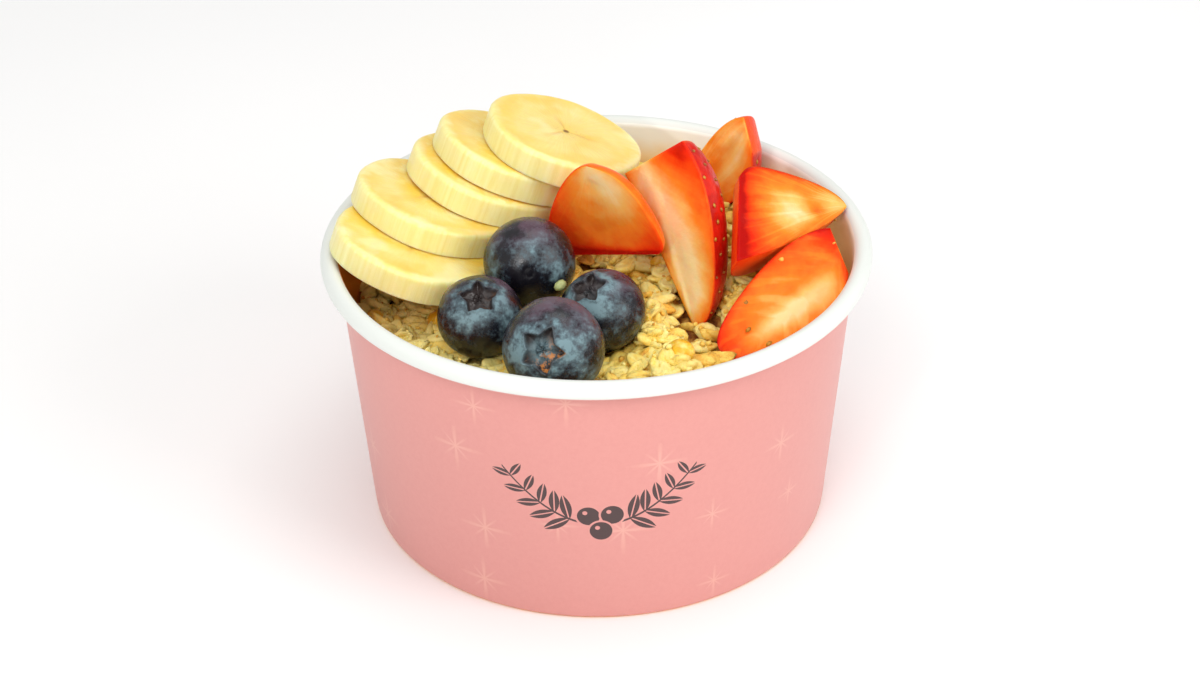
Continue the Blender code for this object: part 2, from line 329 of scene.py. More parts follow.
# The sprig: a curved stem with leaves along both sides and three berries in its middle
leaf_inputs = ("Across", "Up", "Middle Across", "Middle Up", "Angle", "Length", "Width")
leaf_shape, inlets = new_group("leaf shape", **dict.fromkeys(leaf_inputs, "Float"))
side, rise = inlets[0] - inlets[2], inlets[1] - inlets[3]
cosine, sine = inlets[4].calc("COSINE"), inlets[4].calc("SINE")
share = (side * cosine + rise * sine) / inlets[5]
off = abs(rise * cosine - side * sine)
end_group((off < inlets[6] * (share * share * -1.0 + 1.0)) * (off > 0.14))

SPRIG_UP = 25.5
SPRIG_BEND = 0.034
SPRIG_REACH = 19.5
STEM = 0.26
LEAF_LEAN = 0.95
PRINTED_BERRIES = ((-2.3, 27.6), (2.5, 27.9), (0.2, 23.8))
PRINTED_BERRY = 2.3
BERRY_GAP = 2.75
stem_line = across * across * SPRIG_BEND + SPRIG_UP
sprig = (abs(up - stem_line) < STEM) * (abs(across) < SPRIG_REACH)
for side_sign in (-1, 1):
    for i in range(5):
        out = 6.2 + 2.9 * i
        length = 3.3 - 0.28 * i
        for above in (-1, 1):
            angle = side_sign * (SPRIG_BEND * 2 * out + above * LEAF_LEAN)
            aside, rise = around(angle, side_sign * length * 0.9)
            middle = (side_sign * out + aside, SPRIG_UP + SPRIG_BEND * out**2 + rise)
            feeds = [across, up, *middle, angle, length, 1.15 - 0.08 * i]
            sprig = sprig.calc("MAXIMUM", place(where.tree, "Group", feeds, node_tree=leaf_shape))
for berry_across, berry_up in PRINTED_BERRIES:
    aside, above = across - berry_across, up - berry_up
    reach = reach_of(aside, above)
    ball = (reach < PRINTED_BERRY) * (reach_of(aside + 0.7, above - 0.8) > 0.5)
    sprig = (sprig * (reach > BERRY_GAP)).calc("MAXIMUM", ball)

PINK = srgb(218, 148, 141)
PINK_DEEP = srgb(209, 135, 129)
SPARKLE = srgb(240, 190, 172)
INK = srgb(70, 50, 50)
BARE_PAPER = srgb(246, 248, 242)
RIM_PAPER_SHADED = srgb(225, 229, 224)
# Painted warm reflection and painted shade for the inside of the wall
PAINTED_BOUNCE_PAPER = srgb(247, 216, 166)
PAINTED_DEEP_BOUNCE = srgb(240, 146, 18)
pink = blend(stretch(speckle(where, 900.0, 5.0, 0.8), 0.35, 0.7) * 0.3, PINK, PINK_DEEP)
pink = blend(star * 0.42, pink, SPARKLE)
pink = blend(sprig, pink, INK)
# Inside, painted shade and painted warm reflection of the fruit and granola turn the paper amber: higher
# up at both sides, deepest at the left
uneven = x * x * (-6.5 / rim_radius**2) + speckle(where, 90.0) * 6.0 + up
bare = blend(stretch(uneven, 61.0, 54.0), BARE_PAPER, PAINTED_BOUNCE_PAPER)
bare = blend(stretch(x * (9.0 / rim_radius) + uneven, 56.5, 49.0), bare, PAINTED_DEEP_BOUNCE)
# The rim's outside takes a greyer copy of the bare paper: painted shade
bare = blend(outside, bare, RIM_PAPER_SHADED)
feed(blend(inked, bare, pink))
relief(speckle(where, 2600.0, 2.0), 0.03 * MM, 0.5)

wall_points = wall_points.reshape(-1, 3)
cup_wall = add_piece("cup_wall_paper", wall_points, faces, printed, "printed_cup_paper")
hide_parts("cup_wall")
# A flat layout for the print: once round across it, and once round the outline up it
lengths = np.linalg.norm(np.diff(np.concatenate([outline, outline[:1]]), axis=0), axis=1)
up_share = np.concatenate([[0], np.cumsum(lengths)]) / lengths.sum()
layout = cup_wall.data.uv_layers.new(name="OFBake")
for polygon in cup_wall.data.polygons:
    for loop in polygon.loop_indices:
        row, column = divmod(cup_wall.data.loops[loop].vertex_index, columns)
        row_share, column_share = up_share[row], column / columns
        if row == 0 and polygon.index >= (rows - 1) * columns:
            row_share = 1.0
        if column == 0 and polygon.index % columns == columns - 1:
            column_share = 1.0
        layout.data[loop].uv = (column_share, row_share)


# ---- Cup base ---------------------------------------------------------------------------
# A disc of white coated board with its edge turned down into the hem and heat sealed there.
# It is seen only from below, with the faint marks of the mould that pressed it.
base_paper, where = new_finish("base_paper", Roughness=0.5)
feed(ramp(speckle(where, 300.0, 4.0), (0.3, 232, 230, 222), (0.7, 244, 243, 238)))
rings = place(where.tree, "TexWave", [where, 40.0], 1, wave_type="RINGS", rings_direction="Z")
relief(rings, 0.05 * MM, 0.3)
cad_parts["cup_base"].data.materials[0] = base_paper


# ---- Acai -------------------------------------------------------------------------------
# Frozen acai pulp blended thick and poured in to a level: dark purple, icy and wet. The
# granola covers all of it.
acai_blend, where = new_finish("acai_blend", Roughness=0.3, Subsurface_Weight=0.1)
ice = speckle(where, 900.0, 5.0)
feed(ramp(ice, (0.35, 52, 20, 44), (0.6, 84, 34, 66), (0.75, 130, 84, 112)))
relief(ice, 0.4 * MM)
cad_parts["acai"].data.materials[0] = acai_blend


# ---- Granola core -----------------------------------------------------------------------
# The imported inside of the granola heap: crumbs too fine to count, stuck together with honey
# and toasted brown, its darkest browns also painted shade for the gaps between loose pieces.
# It is pressed down under the fruit, and loose pieces hide most of it.
ACAI_TOP = 36.0 * MM
HEAP_LEVEL = 50.0 * MM
CORE_DEPTH = 3.2 * MM
FRUIT_GAP = 0.5 * MM
CORE_RINGS = 84
CORE_SPOKES = 240
CORE_TURN = math.tau / CORE_SPOKES
UP = Vector((0, 0, 1))
DOWN = Vector((0, 0, -1))


def solids_tree(*starts):
    """The solids whose names start so, for asking where they are."""
    points, faces = [], []
    for name, node in sorted(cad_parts.items()):
        if name.startswith(starts):
            first = len(points)
            points += [vertex.co.copy() for vertex in node.data.vertices]
            faces += [[first + i for i in polygon.vertices] for polygon in node.data.polygons]
    return BVHTree.FromPolygons(points, faces)


fruit = solids_tree("banana", "blueberry", "strawberry")


def heap_height(x, y):
    """Level of the heap between the fruit: sunk at the left wall and banked at the back."""

    def swell(middle_x, middle_y, spread):
        return math.exp(-((x - middle_x) ** 2 + (y - middle_y) ** 2) / (2 * spread**2))

    sunk = 7.0 * MM * swell(-0.052, 0.002, 0.016)
    bank = 7.0 * MM * max(swell(-0.012, 0.030, 0.015), swell(0.018, 0.026, 0.013))
    dips = 3.6 * MM * swell(0.0195, -0.0150, 0.0045) + 2.0 * MM * swell(0.0255, -0.0305, 0.004)
    return HEAP_LEVEL - sunk + bank - dips


def inside_radius(height):
    """Radius of the room inside the wall at this height."""
    return wall_line(height) - PAPER / 2 - 0.1 * MM


bed = np.zeros((CORE_RINGS, CORE_SPOKES))
for ring in range(CORE_RINGS):
    for spoke in range(CORE_SPOKES):
        x, y = around(CORE_TURN * spoke, inside_radius(HEAP_LEVEL) * (ring + 1) / CORE_RINGS)
        level = heap_height(x, y) - CORE_DEPTH
        crumb = noise.voronoi(Vector((x, y, 0.0)) * 420)[0]
        level += (crumb[1] - crumb[0] - 0.4) * 1.6 * MM
        level += noise.noise(Vector((x, y, 0.3)) * 160) * 0.9 * MM
        hit = fruit.ray_cast(Vector((x, y, 0.0)), UP)[0]
        if hit:
            level = min(level, hit.z - FRUIT_GAP)
        bed[ring, spoke] = max(level, ACAI_TOP + 1.5 * MM)
# Beside a step down under the fruit the core goes down too, clear of the fruit's side
lowest = bed.copy()
for shift in (-1, 1):
    lowest = np.minimum(lowest, np.roll(bed, shift, axis=1))
    lowest[:-1] = np.minimum(lowest[:-1], bed[1:])
    lowest[1:] = np.minimum(lowest[1:], bed[:-1])
bed = np.where(lowest < bed - 1.2 * MM, lowest, bed)
points = [(0.0, 0.0, float(bed[0].mean()))]
for ring in range(CORE_RINGS + 1):
    for spoke in range(CORE_SPOKES):
        height = bed[ring, spoke] if ring < CORE_RINGS else ACAI_TOP + 0.3 * MM
        reach = inside_radius(height) * min(1.0, (ring + 1) / CORE_RINGS)
        points.append((*around(CORE_TURN * spoke, reach), height))
faces = [(0, 1 + i, 1 + (i + 1) % CORE_SPOKES) for i in range(CORE_SPOKES)]
faces += [face[::-1] for face in grid_faces(CORE_RINGS + 1, CORE_SPOKES, True, 1)]
faces.append(tuple(1 + CORE_RINGS * CORE_SPOKES + i for i in range(CORE_SPOKES))[::-1])

core_finish, where = new_finish("granola_crumb", Roughness=0.6)
cells = place(where.tree, "TexVoronoi", {"Vector": where, "Scale": 700.0})
toast_and_shading = cells * -0.25 + speckle(where, 500.0, 4.0)
# The darkest brown is partly painted shade, seen in the gaps between the flakes
feed(ramp(toast_and_shading, (0.15, 96, 46, 8), (0.36, 150, 88, 24), (0.55, 206, 150, 62)))
relief(toast_and_shading, 0.6 * MM)
granola_core = add_piece("granola_core", points, faces, core_finish, "granola")
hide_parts("granola")


# ---- Granola pieces ---------------------------------------------------------------------
# Rolled oats toasted with honey: thin cupped ovals with torn rims, loose or stuck together in
# clusters, with amber pieces of crisped corn and crumbs between them.
draws = np.random.default_rng(11)
OAT_LENGTH = 6.8 * MM
OAT_WIDTH = 4.0 * MM
OAT_THICKNESS = 1.8 * MM
OAT_SPOKES = 12
OAT_RINGS = (0.3, 0.62, 0.88, 1.0)
LAYERS = (0.0, -1.7, -3.4, -5.4, -7.6)
PITCH = 3.4 * MM
SCATTER = 0.9 * MM
WALL_GAP = 1.2 * MM


def bell(value, middle, spread):
    """1 at the middle, falling smoothly to 0 on both sides of it."""
    return math.exp(-(((value - middle) / spread) ** 2))


def step_up(value, softness):
    """0 well below zero and 1 well above it."""
    return 1 / (1 + math.exp(-value / softness))


def ball_faces(rows, columns):
    """Faces over a ball's rings of points, from the top down, and its two poles after them."""
    top, bottom, last = rows * columns, rows * columns + 1, (rows - 1) * columns
    faces = [face[::-1] for face in grid_faces(rows, columns, True)]
    for i in range(columns):
        j = (i + 1) % columns
        faces.append((top, i, j))
        faces.append((bottom, last + j, last + i))
    return faces


def pebble(spokes, levels, shape, roughness):
    """Points and faces of one closed lump: (reach, height) by level, roughened by chance."""
    points = []
    for reach, height in levels:
        for spoke in range(spokes):
            rough = 1 + roughness * draws.uniform(-1, 1)
            points.append(shape(*around(math.tau * spoke / spokes, reach * rough), height))
    points += [shape(0, 0, levels[0][1]), shape(0, 0, levels[-1][1])]
    return np.array(points), ball_faces(len(levels), spokes)


def oat_flake():
    """One rolled oat, its crease along X."""
    cup = draws.uniform(-1.0, 0.8) * MM
    wave, turn_by = draws.uniform(0.1, 0.5) * MM, draws.uniform(0, math.tau)
    crease = draws.uniform(0.3, 1.1) * MM
    width = OAT_WIDTH * draws.uniform(0.8, 1.12)

    def shape(along, beside, height):
        reach = math.hypot(along, beside)
        lift = cup * reach**2 + wave * reach**2 * math.sin(2 * math.atan2(beside, along) + turn_by)
        lift -= crease * bell(beside, 0, 1 / 4.2) * (1 - reach**4) * (1 if height > 0 else -0.3)
        lift += draws.uniform(-0.09, 0.09) * MM
        pointed = 1 - 0.16 * along
        along, beside = along * OAT_LENGTH / 2, beside * width / 2 * pointed
        return along, beside, height * OAT_THICKNESS / 2 + lift

    levels = [(reach, math.sqrt(1 - 0.9 * reach**6)) for reach in OAT_RINGS]
    levels.append((0.8, -0.8))
    return pebble(OAT_SPOKES, levels, shape, 0.07)


def joined(blocks):
    """One list of points and one of faces from many small meshes."""
    start = 0
    faces = []
    for block_points, block_faces, _ in blocks:
        faces.extend([tuple(start + i for i in face) for face in block_faces])
        start += len(block_points)
    return np.concatenate([block[0] for block in blocks]), faces


def turned_to(tilt, heading, spin):
    """A rotation: spun about its own axis, tilted, then turned to a heading."""
    spun, tilted = Matrix.Rotation(spin, 3, "Z"), Matrix.Rotation(tilt, 3, "X")
    return np.array(Matrix.Rotation(heading, 3, "Z") @ tilted @ spun)


def clear_of_fruit(points, gap):
    """Whether all of these points are outside the fruit and inside the wall."""
    for point in points:
        if math.hypot(point[0], point[1]) > inside_radius(point[2]):
            return False
        near, normal, _, distance = fruit.find_nearest(Vector(point))
        if distance < gap or (Vector(point) - near).dot(normal) < 0:
            return False
    return True


SIGHT_LINES = [
    Vector((*around(math.tau * heading / 8), slope)).normalized()
    for heading in range(8)
    for slope in (0.6, 1.6, 5.0)
]


def seen_from_above(point, heap=None):
    """Whether any slanting line upward from here misses the fruit, and the heap if given."""
    for line in SIGHT_LINES:
        if heap and heap.ray_cast(point + line * 0.05 * MM, line)[0]:
            continue
        if fruit.ray_cast(point, line)[0] is None:
            return True
    return False


flake_kinds = [oat_flake() for _ in range(24)]
flakes_laid = []


def lay_flake(x, y, z, tilt, size, toast_and_shading):
    """Lays one flake here if it has room."""
    kind_points, kind_faces = flake_kinds[draws.integers(len(flake_kinds))]
    turned = turned_to(tilt, draws.uniform(0, math.tau), draws.uniform(0, math.tau))
    points = kind_points @ turned.T * size + (x, y, z)
    if not clear_of_fruit(points[::3], 0.15 * MM):
        return False
    # Flakes at the left, shaded by the bananas and the rim, are made paler: painted light
    painted_light_at_left = 0.3 * step_up(-22.0 * MM - x, 2.5 * MM)
    flakes_laid.append((points, kind_faces, toast_and_shading - painted_light_at_left))
    return True


# Clusters: middle x and y, rise over the heap and spread, all in millimetres
CLUSTERS = [
    (14.5, -33.5, 1.6, 4.8), (24.0, -41.0, 0.6, 3.6), (5.5, -45.5, 0.6, 3.0), (12.0, -13.0, 0.8, 3.4),
    (-40.5, -17.5, 0.4, 3.2), (-34.5, -32.0, 0.6, 3.6), (33.5, -33.5, 0.5, 3.0), (11.0, -22.0, 0.8, 3.2),
    (-20.0, -43.5, 0.5, 3.0), (14.5, 1.0, 0.6, 3.2), (-45.5, -8.0, 0.2, 3.0), (45.0, 27.0, 0.5, 3.5),
    (3.0, 48.0, 0.5, 3.2), (-50.0, 12.0, 0.0, 2.6), (49.0, -10.0, 0.5, 3.0), (20.0, 46.0, 0.5, 3.2),
]
for x, y, rise, spread in CLUSTERS:
    toast_and_shading = draws.uniform(0.15, 0.5)
    for _ in range(20):
        px, py = (np.array([x, y]) + draws.normal(0, spread / 2, 2)) * MM
        far = math.hypot(px / MM - x, py / MM - y) / spread
        pz = heap_height(px, py) + (rise + 1.2 * (1 - far) + draws.uniform(-0.9, 0.5)) * MM
        tilt, size = draws.normal(0, 0.7), draws.uniform(0.6, 0.95)
        lay_flake(px, py, pz, tilt, size, toast_and_shading + draws.normal(0, 0.08))

count = int(rim_radius / PITCH) + 1
for layer in LAYERS:
    for i in range(-count, count + 1):
        for j in range(-count, count + 1):
            x = (i + 0.5 * (j % 2)) * PITCH + draws.normal(0, SCATTER)
            y = j * PITCH * 0.87 + draws.normal(0, SCATTER)
            from_wall = inside_radius(HEAP_LEVEL) - math.hypot(x, y)
            if from_wall < WALL_GAP:
                continue
            z = heap_height(x, y) + (layer + draws.uniform(-0.7, 0.7)) * MM
            floor = heap_height(x, y) - CORE_DEPTH
            hit = fruit.ray_cast(Vector((x, y, 0.0)), UP)[0]
            if hit:
                floor = min(floor, hit.z - 4 * MM)
            near = fruit.find_nearest(Vector((x, y, z)))[3]
            if z < floor - 0.2 * MM and near > 6 * MM:
                continue
            if not seen_from_above(Vector((x, y, z))):
                continue
            for _ in range(6 if from_wall < 4 * MM else 1):
                tilt = draws.normal(0, 0.42)
                if lay_flake(x, y, z, tilt, draws.uniform(0.7, 1.15), draws.beta(2.0, 4.2)):
                    break


# Flakes that no line of sight reaches are left out
points, faces = joined(flakes_laid)
heap_top = BVHTree.FromPolygons([Vector(point) for point in points], faces)
flakes_laid = [
    flake
    for flake in flakes_laid
    if any(seen_from_above(Vector(point), heap_top) for point in flake[0][::4])
]


def tint(piece, name, values):
    """Stores a number or a place at each of the piece's points, for its finish to read."""
    values = np.asarray(values, np.float32)
    kind, key = ("FLOAT", "value") if values.ndim == 1 else ("FLOAT_VECTOR", "vector")
    attribute = piece.data.attributes.new(name, kind, "POINT")
    attribute.data.foreach_set(key, values.ravel())


def read_tint(where, name, output="Fac"):
    """What tint() stored, as a wire beside this one."""
    return place(where.tree, "Attribute", output=output, attribute_name=name)


oat_finish, where = new_finish(
    "toasted_oats",
    Roughness=0.5,
    Subsurface_Weight=0.12,
    Subsurface_Radius=(1.0, 0.6, 0.25),
    Subsurface_Scale=0.8 * MM,
)
patches = speckle(where, 520.0, 4.0, 0.65)
grain = speckle(where, 2400.0, 3.0)
toast_and_shading = (patches - 0.5) * 1.1 + read_tint(where, "toast_and_shading") + (grain - 0.5) * 0.3
oats = ramp(
    toast_and_shading,
    (0.05, 255, 238, 150),
    (0.35, 254, 220, 106),
    (0.65, 238, 182, 66),
    (1.0, 190, 118, 28),
)
feed(oats)
relief(patches + grain * 0.4, 0.5 * MM)
points, faces = joined(flakes_laid)
flakes = add_piece("granola_oats", points, faces, oat_finish, "granola")
tint(flakes, "toast_and_shading", np.repeat([flake[2] for flake in flakes_laid], len(flake_kinds[0][0])))

# Crisped corn: amber, half clear, with rounded corners. Middle x, y, rise (mm), size, tilt
CRISPS = [
    (16.4, -30.4, 3.0, 0.95, 0.5), (-29.5, -13.5, 0.6, 1.25, 0.4), (-33.0, -9.0, 0.0, 0.9, -0.4),
    (13.5, 5.0, 0.8, 0.8, 0.6), (4.0, -47.0, 1.2, 0.7, 0.3), (38.0, -29.0, 1.0, 0.7, 0.8),
    (-10.0, 49.5, 1.0, 0.9, 0.5), (30.0, 42.0, 1.2, 0.9, -0.5), (-47.0, -1.0, 0.5, 0.8, 0.4),
    (50.0, 14.0, 1.0, 0.8, 0.2), (22.0, -45.0, 0.8, 0.6, -0.3), (9.5, -17.0, 1.6, 0.6, 0.9),
]
CRISP_LEVELS = [(0.3, 1.0), (0.6, 0.92), (0.85, 0.7), (1.0, 0.2), (1.0, -0.3), (0.8, -0.8), (0.4, -1.0)]
crisps = []
for x, y, rise, size, tilt in CRISPS:

    def crisp(along, beside, height):
        bulge = 0.5 * MM * math.sin(along * 2.4 + size * 9) * math.cos(beside * 2.1)
        return along * 3.4 * MM, beside * 2.7 * MM, height * 1.3 * MM + bulge

    points, faces = pebble(18, CRISP_LEVELS, crisp, 0.06)
    turned = turned_to(tilt, draws.uniform(0, math.tau), draws.uniform(0, math.tau))
    points = points @ turned.T * size + (x * MM, y * MM, heap_height(x * MM, y * MM) + rise * MM)
    if clear_of_fruit(points, 0.1 * MM):
        crisps.append((points, faces, size))
corn_finish, where = new_finish(
    "crisped_corn",
    Roughness=0.3,
    Subsurface_Weight=0.35,
    Subsurface_Radius=(1.0, 0.55, 0.1),
    Subsurface_Scale=1.5 * MM,
)
cloud = speckle(where, 380.0, 3.0)
feed(ramp(cloud, (0.3, 226, 166, 14), (0.5, 240, 190, 48), (0.68, 252, 226, 130)))
relief(cloud, 0.4 * MM)
add_piece("granola_corn_crisps", *joined(crisps), corn_finish, "granola")

# A chip of pumpkin seed, pale green, caught between two of the blueberries
CHIP_AT = (-7.5 * MM, -16.2 * MM, 59.9 * MM)
CHIP_LEVELS = [(0.4, 1.0), (0.8, 0.75), (1.0, 0.1), (0.8, -0.7), (0.4, -1.0)]


def chip(along, beside, height):
    return along * 1.5 * MM, beside * 1.0 * MM, height * 0.6 * MM


points, faces = pebble(9, CHIP_LEVELS, chip, 0.2)
points = points @ turned_to(0.9, 0.5, 0.3).T + CHIP_AT
chip_finish, where = new_finish("pumpkin_seed_green", Roughness=0.45, Subsurface_Weight=0.1)
cloud = speckle(where, 700.0, 3.0)
feed(ramp(cloud, (0.35, 140, 150, 84), (0.65, 190, 194, 130)))
relief(cloud, 0.2 * MM)
add_piece("granola_seed_chip", points, faces, chip_finish, "granola")

# Crumbs: fallen on the oats, on the core and, a few, on the fruit
CRUMBS = 800
crumbs_laid = []


def drop_crumb(point, size):
    """Lays one crumb with its middle here."""

    def lump(along, beside, height):
        squash = 0.62 + 0.25 * math.sin(size * 9000)
        return along * size, beside * size * 0.8, height * size * squash

    points, faces = pebble(6, [(0.7, 0.75), (1.0, 0.0), (0.65, -0.75)], lump, 0.22)
    turned = turned_to(draws.uniform(0, 3), draws.uniform(0, math.tau), 0.0)
    crumbs_laid.append((points @ turned.T + np.array(point), faces, draws.beta(2, 2.4)))


for _ in range(CRUMBS):
    reach = (inside_radius(HEAP_LEVEL) - 0.9 * MM) * math.sqrt(draws.uniform())
    angle = draws.uniform(0, math.tau)
    size = draws.uniform(0.3, 0.8) * MM
    above = Vector((*around(angle, reach), 0.1))
    hit = heap_top.ray_cast(above, DOWN)[0]
    if hit is None:
        hit = granola_core.ray_cast(above, DOWN)[1]
    if hit.z < ACAI_TOP or not seen_from_above(hit + UP * size):
        continue
    if clear_of_fruit([hit + UP * size * 0.5], size * 1.1):
        drop_crumb(hit + UP * size * 0.4, size)
# On the fruit: x and y of each crumb and its size, in millimetres
for x, y, size in ((38.0, -9.5, 0.6), (49.0, -6.4, 0.5), (23.6, 31.5, 0.6)):
    hit = fruit.ray_cast(Vector((x * MM, y * MM, 0.1)), DOWN)[0]
    if hit:
        drop_crumb(hit + UP * size * 0.3 * MM, size * MM)
crumbs = add_piece("granola_crumbs", *joined(crumbs_laid), oat_finish, "granola")
tint(crumbs, "toast_and_shading", np.repeat([crumb[2] for crumb in crumbs_laid], len(crumbs_laid[0][0])))


# ---- Banana slices ----------------------------------------------------------------------
# Ripe banana, peeled and cut straight across, laid in a fan with each slice on the one before
# it. The cut face shows three seed lines round a brown middle, the side the strings of the peel.
SLICE_SPOKES = 132
EDGE = 1.3 * MM
UNDER_EDGE = 0.15 * MM
UNDERSIDE = 3.1 * MM
SLICE_GAP = 0.05 * MM


def slice_place(name):
    """Middle, axis, radius and half thickness of a slice, read from its solid."""
    points = np.array([vertex.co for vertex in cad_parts[name].data.vertices])
    middle = (points.max(0) + points.min(0)) / 2
    axis = np.linalg.svd(points - points.mean(0))[2][2]
    axis *= np.sign(axis[2])
    heights = (points - middle) @ axis
    middle = middle + axis * (heights.max() + heights.min()) / 2
    outward = (points - middle) - ((points - middle) @ axis)[:, None] * axis
    return middle, axis, np.linalg.norm(outward, axis=1).max(), (heights.max() - heights.min()) / 2


banana_finish, where = new_finish(
    "banana_flesh",
    Roughness=0.38,
    Subsurface_Weight=1.0,
    Subsurface_Radius=(1.0, 0.8, 0.35),
    Subsurface_Scale=2.5 * MM,
)
on_slice = read_tint(where, "slice_place", "Vector")
x, y, on_side = parts(on_slice)
reach = reach_of(x, y)
angle = y.calc("ARCTAN2", x)
cloud = speckle(where, 190.0, 4.0)
spokes = place(where.tree, "CombineXYZ", [angle * 9.0, reach * 1.5, 0.0])
strands = speckle(spokes, 2.0, 4.0)
face = ramp(
    (cloud - 0.5) * 0.35 + reach,
    (0.0, 245, 209, 108),
    (0.3, 248, 218, 128),
    (0.62, 250, 224, 142),
    (0.86, 246, 213, 112),
    (0.97, 246, 230, 164),
)
face = blend(stretch(strands, 0.42, 0.62) * 0.14, face, srgb(246, 200, 90))
wet = speckle(where, 75.0, 2.0)
face = blend(stretch(wet, 0.5, 0.66) * 0.6, face, srgb(247, 200, 84))
face = blend(stretch(wet, 0.46, 0.32) * 0.7, face, srgb(255, 238, 180))
# Deeper yellow near the edge of the slice above, and on the right of the top slice: painted shading
painted_shading = read_tint(where, "painted_shading") * stretch(cloud, 0.36, 0.6)
face = blend(painted_shading * 0.85, face, srgb(243, 198, 52))
# Three seed lines, the small seeds beside them and the brown middle
lines = abs((angle * 1.5).calc("COSINE")) ** 60.0 * stretch(reach, 0.52, 0.1)
face = blend(lines * 0.55, face, srgb(222, 170, 70))
seeds = place(where.tree, "TexVoronoi", {"Vector": on_slice, "Scale": 16.0})
dots = stretch(seeds, 0.2, 0.08) * stretch(reach, 0.3, 0.2) * stretch(reach, 0.05, 0.12)
face = blend(dots * 0.35, face, srgb(176, 120, 40))
middle_dot = stretch(reach, 0.055, 0.02) * read_tint(where, "dot")
face = blend(middle_dot, face, srgb(150, 98, 22))
strings = place(where.tree, "CombineXYZ", [angle * 11.0, 0.0, cloud])
side = ramp(
    speckle(strings, 1.3, 3.0),
    (0.3, 232, 220, 144),
    (0.5, 237, 228, 160),
    (0.7, 241, 235, 180),
)
feed(blend(stretch(on_side, 0.3, 0.7), face, side))
relief(cloud + strands, 0.25 * MM, 0.6)


def slice_outline(radius, half):
    """Levels of a slice from its middle out, down the side and back: (reach, height, side)."""
    levels = [(share, 1.0, 0.0) for share in np.linspace(0, 1, 26)[1:-1] * (1 - EDGE / radius)]
    for i in range(7):
        out, down = math.sin(math.pi / 12 * i), math.cos(math.pi / 12 * i)
        levels.append((1 - EDGE / radius * (1 - out), 1 - EDGE / half * (1 - down), i / 6))
    levels += [(1.0, height, 1.0) for height in np.linspace(0.9 - EDGE / half, -0.62, 7)]
    for i in range(7):
        inward, level = math.cos(math.pi / 12 * i), UNDER_EDGE * (1 - math.sin(math.pi / 12 * i))
        share = 1 - UNDER_EDGE / radius * (1 - inward)
        levels.append((share, (level - UNDERSIDE) / half, 1 - i / 6))
    return levels + [(share, -UNDERSIDE / half, 0.0) for share in np.linspace(0.95, 0.1, 9)]


for number in range(1, 6):
    name = f"banana_slice_{number}"
    middle, axis, radius, half = slice_place(name)
    over_middle, over_axis, over_radius, _ = slice_place(f"banana_slice_{min(number + 1, 5)}")
    right = np.cross(axis, (0, 1, 0))
    right /= np.linalg.norm(right)
    over = np.cross(axis, right)
    levels = slice_outline(radius, half)
    points, places, painted_shading = [], [], []
    for share, height, on_side in levels:
        for spoke in range(SLICE_SPOKES):
            angle = math.tau * spoke / SLICE_SPOKES
            wobble = noise.noise(Vector((*around(angle, 1.6), number * 3.1)))
            strings = noise.noise(Vector((*around(angle, 14), number + height * 0.3)))
            reach = radius * share * (1 - 0.012 * (2 + math.cos(5 * angle + number) + wobble))
            reach -= 0.08 * MM * (1 + strings) * on_side
            groove = abs(math.cos(1.5 * angle + number)) ** 30 * bell(share, 0.25, 0.03**0.5)
            aside, ahead = around(angle, reach)
            ripple = noise.noise(Vector((aside, ahead, number * 0.01)) * 240)
            inset = 0.16 * groove + 0.1 * (1 + ripple) + 0.3 * bell(share, 0, 1 / 9)
            lift = half * height
            if height > 0:
                lift -= inset * MM * (1 - on_side)
            if number < 5 and height > 0:
                lift -= SLICE_GAP
            points.append(middle + right * aside + over * ahead + axis * lift)
            offset = points[-1] - over_middle
            offset -= (offset @ over_axis) * over_axis
            beyond = max(0.0, np.linalg.norm(offset) - over_radius)
            # Painted shading: on the right of the top slice, and near the edge of the slice above on the
            # others
            lit_side = 0.6 * max(0.0, math.cos(angle + 0.5)) * share**2
            painted_shading.append(lit_side if number == 5 else bell(beyond, 0, 2.4 * MM))
            places.append((*around(angle + number * 2 / 3, share), on_side))
    points += [middle + axis * (half - 0.4 * MM), middle - axis * (half - 0.3 * MM)]
    faces = [face[::-1] for face in ball_faces(len(levels), SLICE_SPOKES)]
    piece = add_piece(f"banana_{number}_cut", points, faces, banana_finish, "banana")
    tint(piece, "slice_place", places + [(0.0, 0.0, 0.0)] * 2)
    tint(piece, "dot", np.full(len(points), 1.0 if number == 5 else 0.45))
    tint(piece, "painted_shading", painted_shading + [0.0, 0.0])
    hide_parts(name)


